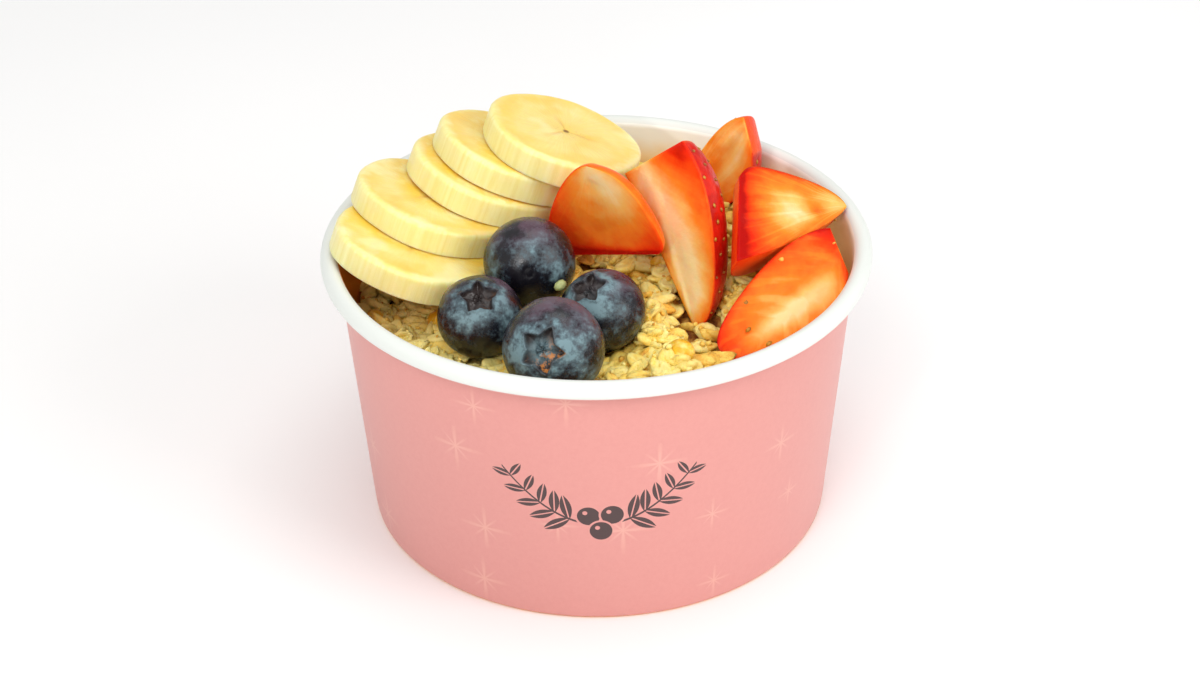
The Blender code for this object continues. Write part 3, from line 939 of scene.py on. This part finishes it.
# ---- Blueberries ------------------------------------------------------------------------
# Fresh blueberries, whole, as they fell: firm dark skin under a pale waxy bloom that is rubbed
# off in places, and at one end the dried crown of five sepals round a shallow cup.
# Middle (mm), radius (mm), way the crown faces, turn of the crown, bloom all over, how pale
# the floor of the crown is and how tan, then the patches of thicker or thinner bloom, partly
# real bloom and partly painted highlight and shade, each the way it faces, how wide it is and how much is
# added
BERRIES = [
    ((-13.8, -7.6, 60.4), 9.5, (0.0, 0.96, -0.28), 0.4, 0.30, 0.0, 0.0,
     [((-0.75, -0.6, 0.25), 0.5, 0.25), ((0.6, -0.75, 0.25), 0.32, 0.5), ((-0.05, -0.9, 0.1), 0.45, -0.45),
      ((0.05, -0.65, 0.75), 0.25, 0.35), ((0.3, -0.75, -0.6), 0.5, -0.35)]),
    ((-23.6, -23.2, 57.0), 8.7, (0.01, -0.43, 0.90), 0.2, 0.22, 0.1, 0.1,
     [((0.5, -0.6, 0.4), 0.4, 0.4), ((-0.3, -0.8, 0.4), 0.35, 0.25), ((0.1, -0.9, -0.3), 0.6, -0.25),
      ((-0.9, -0.4, 0.2), 0.3, 0.15), ((0.01, -0.43, 0.9), 0.62, 0.5)]),
    ((-8.7, -37.2, 58.0), 10.2, (-0.26, -0.84, 0.47), 0.9, 0.40, 0.9, 1.0,
     [((-0.7, -0.7, 0.1), 0.45, 0.2), ((0.4, -0.6, 0.65), 0.45, 0.2), ((0.7, -0.7, 0.2), 0.3, -0.1),
      ((0.3, -0.9, 0.2), 0.3, 0.1)]),
    ((1.0, -20.4, 56.2), 8.9, (-0.39, -0.25, 0.89), 0.6, 0.44, 0.2, 0.1,
     [((-0.1, -0.75, 0.6), 0.5, 0.22), ((0.3, -0.85, -0.3), 0.45, -0.35), ((0.75, -0.4, 0.5), 0.3, -0.1),
      ((0.85, -0.5, 0.0), 0.2, 0.2)]),
]
FLATNESS = 0.9
CROWN = 0.36
CROWN_SPIKE = 0.085
CROWN_LIP = 0.05
CROWN_DEPTH = 0.15
BERRY_SPOKES = 120

berry_finish, where = new_finish("blueberry_skin", Roughness=0.4, Specular_IOR_Level=0.5)
broad = speckle(where, 130.0, 3.0)
fine = speckle(where, 640.0, 5.0, 0.7)
# Bloom, partly real and partly painted highlight and shade
wax_and_light = (broad - 0.5) * 2.0 + read_tint(where, "bloom_and_painted_light") + (fine - 0.5) * 1.9
skin = ramp(wax_and_light, (0.12, 16, 15, 21), (0.38, 30, 36, 44), (0.64, 68, 86, 94), (0.97, 110, 138, 146))
skin = blend(read_tint(where, "purple") * stretch(broad, 0.35, 0.6), skin, srgb(92, 66, 80))
skin = blend(read_tint(where, "crown_cup"), skin, srgb(44, 34, 32))
skin = blend(read_tint(where, "tan") * stretch(fine, 0.5, 0.58), skin, srgb(196, 124, 56))
feed(skin)
feed(stretch(wax_and_light, 0.2, 0.8, 0.24, 0.6), "Roughness")
relief(fine, 0.12 * MM, 0.6)

TINTS = ("bloom_and_painted_light", "purple", "crown_cup", "tan")
slopes = np.concatenate([np.linspace(0, 0.6, 34)[1:], np.linspace(0.6, math.pi, 40)[1:-1]])
for number, berry in enumerate(BERRIES, start=1):
    middle, radius, crown, crown_turn, waxy, pale_floor, tanned, patches = berry
    middle = np.array(middle) * MM
    radius *= MM
    turned = np.array(UP.rotation_difference(Vector(crown)).to_matrix())
    points, tints = [], []
    for slope in slopes:
        on_top = slope < 1
        for spoke in range(BERRY_SPOKES):
            angle = math.tau * spoke / BERRY_SPOKES
            star = (1 - abs(((angle + crown_turn) * 5 / math.tau) % 1 * 2 - 1)) ** 1.5
            ragged = noise.noise(Vector((*around(angle, 3), number * 2.3)))
            edge = CROWN + CROWN_SPIKE * (star * 2.0 - 0.8) + 0.035 * ragged
            reach = math.sin(slope)
            inside = step_up(edge - reach, 0.012) * on_top
            lip = bell(reach, edge, 0.05) * on_top
            ring = bell(reach, edge + 0.13, 0.13) * on_top
            scar = bell(slope, math.pi, 0.11)
            floor = CROWN_DEPTH * (0.85 + 0.15 * noise.noise(Vector((reach * 9, angle, number))))
            floor -= 0.05 * bell(reach, 0.1, 0.03)
            height = FLATNESS * math.cos(slope) * (1 - inside)
            height += (FLATNESS * math.sqrt(1 - edge**2) - floor) * inside
            height += CROWN_LIP * (0.6 + 0.7 * star) * lip + 0.045 * scar
            place_on = Vector((*around(angle, reach), height))
            lump = 1 + 0.016 * noise.noise(place_on * 1.7 + Vector((number * 5.0, 0, 0)))
            point = turned @ np.array(place_on) * radius * lump
            points.append(middle + point)

            right, _, upward = point / radius
            faces_way = Vector(point).normalized()
            # Thinner bloom underneath and the patches: partly real bloom, partly painted highlight and
            # shade
            waxed_and_lit = waxy + 0.32 * ring - 0.25 * max(0.0, -upward) - 0.8 * scar
            waxed_and_lit += 0.4 * pale_floor * inside
            for way, wide, more in patches:
                waxed_and_lit += more * bell((faces_way - Vector(way).normalized()).length, 0, wide)
            purple = 0.8 * max(0.0, min(1.0, 1.5 * upward + 0.9 * faces_way.y - 0.35)) * (1 - ring)
            cup = inside * (1 - pale_floor * math.exp(-((reach / 0.27) ** 4)))
            tan = inside * tanned * step_up(right + 0.45 - upward, 1 / 14)
            tints.append((waxed_and_lit, purple, cup, tan))
    floor = FLATNESS * math.sqrt(1 - CROWN**2) - CROWN_DEPTH
    for height in (floor, -FLATNESS):
        points.append(middle + turned @ np.array((0, 0, height)) * radius)
    tints += [(waxy, 0.0, 0.6, 0.0), (waxy - 0.5, 0.0, 0.0, 0.0)]
    faces = ball_faces(len(slopes), BERRY_SPOKES)
    piece = add_piece(f"blueberry_{number}_skin", points, faces, berry_finish, "blueberry")
    for name, values in zip(TINTS, zip(*tints)):
        tint(piece, name, values)
    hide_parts(f"blueberry_{number}")


# ---- Strawberries -----------------------------------------------------------------------
# Ripe strawberries, hulled and cut lengthwise: a wet cut face, pale along the core and streaked
# out to red at the skin, over a glossy dimpled back with a seed in each dimple.
# A piece: its tip (mm); heading, rise and roll of its core (degrees); length; widths, fullness
# and taper of its left and right; slant of the stem end; depth of the back and lean of its top
Cut = namedtuple("Cut", "tip turns length widths fullness taper slant depth lean")
CUTS = [
    ((-1.6, -2.6, 79.9), (66, -78, -174), 24.0, (13.0, 16.0), (0.6, 0.35), (0.1, 0.2), -0.35, 6.0, 2.0),
    ((20.2, -10.2, 45.6), (119, 62, -67), 36.5, (11.5, 8.5), (0.4, 0.9), (0.4, -0.05), -0.25, 11.0, -1.5),
    ((18.3, 31.7, 48.6), (-14, 58, 69), 28.0, (8.5, 5.0), (0.5, 0.4), (0.6, 0.7), 0.75, 12.0, 1.0),
    ((53.2, 10.2, 62.8), (-149, 13, -31), 28.5, (11.5, 11.0), (0.5, 0.75), (0.35, 0.0), 0.5, 12.0, 6.0),
    ((25.5, -25.7, 48.8), (37, 24, 32), 33.5, (9.0, 8.0), (0.4, 0.35), (0.55, 0.55), 0.45, 10.5, 0.0),
]
# How ripe each cut face is: all over, then how much more at its left, right, tip and stem
# edges; how streaky it is, whether the streaks run lengthwise, where its core lies across it,
# and the share of its width from which the back is cut too
Ripening = namedtuple("Ripening", "all left right tip stem streaky lengthwise core cut_from")
RIPENESS = [
    (0.42, 0.25, 0.10, 0.00, 0.65, 0.15, True, 0.0, -2.0),
    (0.40, 0.20, 0.20, 0.25, 0.10, 0.2, False, 0.3, 2.0),
    (0.32, 0.35, 0.10, 0.10, 0.10, 0.2, True, 0.0, 2.0),
    (0.46, 0.35, 0.12, 0.05, 0.40, 0.35, True, 0.0, 0.2),
    (0.44, 0.05, 0.35, 0.25, 0.30, 0.45, False, -0.35, 2.0),
]
# Pale and ripe spots on each face: share of the length, share of the width, how far they
# spread along and across, and how much riper they are
SPOTS = [
    [(0.05, 0.1, 0.2, 0.9, -0.36), (0.3, 0.45, 0.2, 0.45, -0.24), (0.85, -0.7, 0.35, 0.35, 0.25),
     (0.8, 0.9, 0.35, 0.25, 0.3), (0.85, 0.0, 0.2, 0.8, 0.12)],
    [(0.15, 0.0, 0.2, 0.8, -0.42), (0.4, -0.15, 0.2, 0.55, -0.42), (0.65, 0.05, 0.2, 0.5, -0.34),
     (0.9, 0.5, 0.18, 0.5, -0.4), (0.98, -0.6, 0.14, 0.5, 0.3), (0.75, -0.8, 0.3, 0.3, 0.15)],
    [(0.9, 0.2, 0.2, 0.5, -0.2), (0.75, -0.3, 0.25, 0.14, -0.22), (0.55, 0.2, 0.2, 0.4, 0.14)],
    [(0.5, 0.1, 0.2, 0.5, -0.45), (0.08, -0.2, 0.14, 0.9, -0.3), (0.28, 0.1, 0.08, 0.3, 0.3),
     (0.95, 0.0, 0.24, 1.4, 0.3)],
    [(0.35, -0.3, 0.15, 0.28, -0.34), (0.55, -0.35, 0.17, 0.26, -0.34), (0.78, -0.5, 0.16, 0.3, -0.3),
     (0.1, 0.4, 0.15, 0.8, 0.12), (0.85, 0.5, 0.2, 0.5, 0.12)],
]
# Loose seeds stuck to a cut face: which piece, share of its length and share of its width
STRAY_SEEDS = ((5, 0.22, 0.05), (5, 0.25, -0.72), (5, 0.33, 0.7))
FACE_ROWS = 80
FACE_COLUMNS = 36
BACK_RINGS = 30
ROUNDNESS = 0.85
SEED_PITCH = 3.3 * MM
SEED_SIZE = 0.62
STRAY_SEED_SIZE = 0.8
DIMPLE_RADIUS = 0.85 * MM
DIMPLE_DEPTH = 0.42 * MM

SEED_SHAPE = [
    (1.0, 0, 0), (0.45, 0.5, 0.25), (0.45, -0.5, 0.25), (-0.5, 0.48, 0.25),
    (-0.5, -0.48, 0.25), (-0.95, 0, 0.1), (0.0, 0, 0.55), (0.0, 0, -0.5),
]
SEED_FACES = [
    (0, 1, 6), (0, 6, 2), (1, 3, 6), (2, 6, 4), (3, 5, 6), (4, 6, 5),
    (0, 7, 1), (0, 2, 7), (1, 7, 3), (2, 4, 7), (3, 7, 5), (4, 5, 7),
]


def half_width(cut, side, t):
    """Width of a piece's left (0) or right (1) at this share of its length from the tip."""
    fullness, taper = cut.fullness[side], cut.taper[side]
    widest = max((i / 60) ** fullness * (1 - taper * (i / 60) ** 5) for i in range(1, 61))
    return cut.widths[side] * t**fullness * (1 - taper * t**5) / widest


def core_axes(heading, rise, roll):
    """A piece's directions: along its core from the tip, across its face and out of it."""
    heading, rise, roll = (math.radians(angle) for angle in (heading, rise, roll))
    along = Vector((*around(heading, math.cos(rise)), math.sin(rise)))
    level = Vector((-math.sin(heading), math.cos(heading), 0))
    across = level * math.cos(roll) + along.cross(level) * math.sin(roll)
    return np.array((along, across, along.cross(across)))


def on_cut(cut, axes, t, width):
    """The point of the cut face at this share of its length and this far across."""
    return cut.tip + axes[0] * (t * cut.length + cut.slant * width * t**3) + axes[1] * width


def ripe_at(ripening, spots, t, beside):
    """How ripe the cut face is at this share of its length and of its width."""
    edge = 1 - abs(beside)
    on_side = ripening.left if beside < 0 else ripening.right
    ripe = ripening.all + on_side * (0.7 * abs(beside) ** 3 + 0.5 * bell(edge, 0, 0.06))
    ripe += ripening.tip * bell(t, 0, 0.12) + ripening.stem * bell(t, 1, 0.09)
    for t_spot, beside_spot, t_spread, beside_spread, more in spots:
        ripe += more * bell(t, t_spot, t_spread) * bell(beside, beside_spot, beside_spread)
    return max(0.0, ripe, 0.85 * bell(edge, 0, 0.02) * min(1.0, on_side * 4))


def fibre_at(ripening, length, t, beside):
    """Place among the fibres, which run lengthwise or out from the core."""
    if ripening.lengthwise:
        return beside * 6.5 / (0.35 + 0.65 * t), t * 1.6
    from_core = math.sqrt((beside - ripening.core) ** 2 + 0.03)
    return (t + 0.25 * from_core) * length * 0.36, from_core * 1.2


def cut_face(number, cut, axes, ripening, spots):
    """The cut face by rows and then its tip, a little hollow along the core: its points, how
    ripe they are and their places among the fibres."""
    points, ripe, fibres = [], [], []
    for row in range(1, FACE_ROWS + 1):
        t = (row / FACE_ROWS) ** 1.5
        left, right = half_width(cut, 0, t), half_width(cut, 1, t)
        for column in range(FACE_COLUMNS + 1):
            width = -left + (left + right) * (column / FACE_COLUMNS)
            beside = width / (left if width < 0 else right)
            ripple = noise.noise(Vector((t * 6 + abs(beside) * 2, beside * 2.2, number * 4.0)))
            dent = (0.35 * ripple + 0.5 * bell(beside, 0, 0.2)) * min(1.0, (1 - abs(beside)) * 8)
            dent *= min(1.0, t * 5) * min(1.0, (1 - t) * 12)
            points.append(on_cut(cut, axes, t, width) - axes[2] * dent)
            ripe.append(ripe_at(ripening, spots, t, beside))
            fibres.append((*fibre_at(ripening, cut.length, t, beside), number * 7.0))
    return np.array([*points, cut.tip]), [*ripe, 0.95], [*fibres, (0.0, 0.0, number * 7.0)]


def cut_back(cut, axes, rim_points):
    """The back, as rings drawn in from the face's outline: points, ways outward, last point."""
    flat = (rim_points - cut.tip) @ axes[:2].T
    middle = np.array([0.58 * cut.length, (cut.widths[1] - cut.widths[0]) / 2 + cut.lean])
    rings = []
    for ring in range(1, BACK_RINGS + 1):
        angle = math.pi / 2 * (ring / BACK_RINGS) * 0.985
        shrunk = middle + (flat - middle) * math.cos(angle) ** ROUNDNESS
        rings.append(cut.tip + shrunk @ axes[:2] - axes[2] * cut.depth * math.sin(angle))
    rings = np.concatenate(rings)
    behind = cut.tip + middle @ axes[:2]
    outward = rings - (behind - axes[2] * cut.depth * 0.4)
    outward /= np.linalg.norm(outward, axis=1)[:, None]
    return rings, outward, behind - axes[2] * cut.depth


def seed_spots(number, points, may_hold):
    """Points to hold the seeds, taken by chance with none nearer to another than the pitch."""
    spots = []
    for index in np.random.default_rng(50 + number).permutation(len(points)):
        far = np.linalg.norm(points[spots] - points[index], axis=1)
        if may_hold[index] and (far > SEED_PITCH).all():
            spots.append(index)
    return spots


straw_finish, where = new_finish(
    "strawberry_flesh",
    Roughness=0.3,
    Subsurface_Weight=1.0,
    Subsurface_Radius=(1.0, 0.5, 0.25),
    Subsurface_Scale=2.5 * MM,
    Coat_Roughness=0.1,
    Specular_IOR_Level=0.2,
    IOR=1.25,
)
cloud = speckle(where, 260.0, 4.0)
streaks = speckle(read_tint(where, "fibre_place", "Vector"), 1.0, 2.0, 0.5)
streaks = stretch(streaks, 0.46, 0.66) * read_tint(where, "streaky")
on_face = read_tint(where, "on_face")
ripe = (cloud - 0.5) * 0.3 + read_tint(where, "ripeness") - streaks * on_face * 0.26
flesh = ramp(
    ripe,
    (0.0, 255, 218, 162),
    (0.2, 255, 188, 104),
    (0.42, 255, 140, 44),
    (0.66, 244, 88, 22),
    (0.84, 226, 44, 12),
    (1.0, 178, 12, 6),
)
skin = ramp(cloud, (0.3, 176, 16, 12), (0.6, 214, 36, 20), (0.8, 232, 62, 30))
feed(blend(on_face, skin, flesh))
feed(on_face * -0.15 + 0.18, "Coat Weight")
relief(speckle(where, 900.0, 4.0) + streaks * 0.6, 0.22 * MM, 0.7)

seed_points, seed_faces = [], []


def lay_seed(seat, faces_way, toward_tip, size):
    """Adds one seed here, its point toward the tip."""
    normal = Vector(faces_way)
    side = normal.cross(Vector(toward_tip)).normalized()
    turned = np.array((side.cross(normal), side, normal)).T
    first = len(seed_points)
    seed_points.extend([seat + turned @ (np.array(corner) * size * MM) for corner in SEED_SHAPE])
    seed_faces.extend([tuple(first + i for i in face) for face in SEED_FACES])


# The faces of every piece: the cut face, the back's rings from its outline, and their ends
face_width = FACE_COLUMNS + 1
tip_index = FACE_ROWS * face_width
rim = [tip_index, *range(FACE_COLUMNS, tip_index, face_width)]
rim += [*range(tip_index - 2, tip_index - face_width, -1)]
rim += [*range(tip_index - face_width, -1, -face_width)]
start, count = tip_index + 1, len(rim)
last = start + (BACK_RINGS - 1) * count
faces = grid_faces(FACE_ROWS, face_width, False)
faces += [(tip_index, column + 1, column) for column in range(FACE_COLUMNS)]
faces += [face[::-1] for face in grid_faces(BACK_RINGS, count, True, start)]
for i in range(count):
    j = (i + 1) % count
    faces.append((start + i, start + j, rim[j], rim[i]))
    faces.append((last + count, last + j, last + i))
round_rim = np.arange(BACK_RINGS * count) % count
at_stem = (round_rim >= FACE_ROWS) & (round_rim < FACE_ROWS + face_width)

for number, (shape, ripeness, spots) in enumerate(zip(CUTS, RIPENESS, SPOTS), start=1):
    cut, ripening = Cut(*shape), Ripening(*ripeness)
    axes = core_axes(*cut.turns)
    points, ripe, fibres = cut_face(number, cut, axes, ripening, spots)
    rings, outward, last_point = cut_back(cut, axes, points[rim])
    sliced = ((rings - cut.tip) @ axes[1] / cut.widths[1] - ripening.cut_from) / 0.12
    sliced = np.where(at_stem, 1.0, np.clip(sliced, 0, 1))

    # Each seed sits in a dimple of its own, on the skin and off the first and last rings
    may_hold = sliced <= 0.2
    may_hold[:count] = False
    may_hold[-count:] = False
    on_back = rings * MM
    seeds = seed_spots(number, on_back, may_hold)
    far = np.linalg.norm(on_back[:, None] - on_back[seeds], axis=2).min(axis=1, initial=1.0)
    on_back -= outward * (np.exp(-((far / DIMPLE_RADIUS) ** 2)) * DIMPLE_DEPTH)[:, None]

    points = np.concatenate([points * MM, on_back, [last_point * MM]])
    down_back = np.linspace(0.55, 0.8, len(rings))
    down_back += 0.3 * np.clip((rings - cut.tip) @ axes[0] / cut.length - 0.5, 0, 1)
    piece = add_piece(f"strawberry_{number}_cut", points, faces, straw_finish, "strawberry")
    tint(piece, "ripeness", [*ripe, *down_back, 0.9])
    tint(piece, "on_face", [*np.ones(start), *sliced, 0.0])
    tint(piece, "streaky", np.full(len(points), ripening.streaky))
    tint(piece, "fibre_place", fibres + [(0.0, 0.0, 0.0)] * (len(rings) + 1))
    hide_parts(f"strawberry_{number}")

    for index in seeds:
        lay_seed(on_back[index] + outward[index] * 0.1 * MM, outward[index], -axes[0], SEED_SIZE)
    for piece_number, t, beside in STRAY_SEEDS:
        if piece_number == number:
            width = beside * half_width(cut, int(beside > 0), t)
            lay_seed(on_cut(cut, axes, t, width) * MM, axes[2], -axes[0], STRAY_SEED_SIZE)

seed_finish, where = new_finish("strawberry_seeds", Roughness=0.35)
feed(ramp(speckle(where, 300.0), (0.35, 206, 150, 48), (0.65, 150, 84, 28)))
add_piece("strawberry_seeds", seed_points, seed_faces, seed_finish, "strawberry")


# ---- Table, light and camera ------------------------------------------------------------
# The bowl stands on a plain white table in a white room, between two broad soft lights in front
# and a weak one overhead. A small reflector throws a narrow beam on the toppings from the left.
FLOOR = 3.0
TOPPINGS = (0.002, 0.0, 0.071)
BOWL_MIDDLE = (0.0, 0.0, 0.05)
floor_mesh = bpy.data.meshes.new("table_top")
corners = [(-FLOOR, -FLOOR, 0), (FLOOR, -FLOOR, 0), (FLOOR, FLOOR, 0), (-FLOOR, FLOOR, 0)]
floor_mesh.from_pydata(corners, [], [(0, 1, 2, 3)])
table, where = new_finish("table_white", Roughness=0.8)
feed(ramp(speckle(where, 3.0), (0.3, 252, 252, 252), (0.7, 255, 255, 255)))
floor_mesh.materials.append(table)
floor = bpy.data.objects.new("table_top", floor_mesh)
link(floor)
floor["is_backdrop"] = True


def add_light(name, kind, location, target, power, **settings):
    """A light that faces the target."""
    lamp = bpy.data.lights.new(name, kind)
    lamp.energy = power
    for key, value in settings.items():
        setattr(lamp, key, value)
    made = bpy.data.objects.new(name, lamp)
    made.location = location
    toward = Vector(target) - Vector(location)
    made.rotation_euler = toward.to_track_quat("-Z", "Y").to_euler()
    link(made)


# Place, width, power and colour
SOFT_LIGHTS = {
    "overhead": ((0.08, 0.0, 0.75), 0.4, 1.1, (1.0, 0.99, 0.97)),
    "front_left": ((-0.2, -0.6, 0.68), 0.4, 2.6, (1.0, 0.98, 0.95)),
    "front_right": ((0.7, -0.42, 0.48), 0.5, 3.1, (1.0, 0.99, 0.98)),
}
for name, (location, size, power, colour) in SOFT_LIGHTS.items():
    add_light(name, "AREA", location, BOWL_MIDDLE, power, shape="SQUARE", size=size, color=colour)
beam = {"spot_size": math.radians(5.5), "spot_blend": 1.0, "shadow_soft_size": 0.06}
add_light("reflector", "SPOT", (-0.33, -0.72, 0.42), TOPPINGS, 20.0, **beam)
ROOM_LIGHT = 0.62
world = bpy.data.worlds.new("white_room")
world.use_nodes = True
background = world.node_tree.nodes["Background"].inputs
background["Color"].default_value = (1.0, 1.0, 1.0, 1.0)
background["Strength"].default_value = ROOM_LIGHT
bpy.context.scene.world = world
bpy.context.scene.view_settings.view_transform = "Standard"

CAMERA_DISTANCE = 517.5 * MM
CAMERA_DROP = math.radians(32.65)
CAMERA_ROLL = math.radians(-0.75)
lens = bpy.data.cameras.new("camera")
lens.lens = 72.0
lens.sensor_width = 36.0
lens.shift_x = 0.0018
lens.shift_y = 0.0196
lens.clip_start = 0.01
camera = bpy.data.objects.new("camera", lens)
camera.location = (
    0.0,
    -CAMERA_DISTANCE * math.cos(CAMERA_DROP),
    cup_height / 2 + CAMERA_DISTANCE * math.sin(CAMERA_DROP),
)
aim = Matrix.Rotation(math.pi / 2 - CAMERA_DROP, 3, "X") @ Matrix.Rotation(CAMERA_ROLL, 3, "Z")
camera.rotation_euler = aim.to_euler()
link(camera)
bpy.context.scene.camera = camera

sizes = {"cad": solids_box, "visual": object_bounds()}
{key: [list(corner) for corner in value] for key, value in sizes.items()}
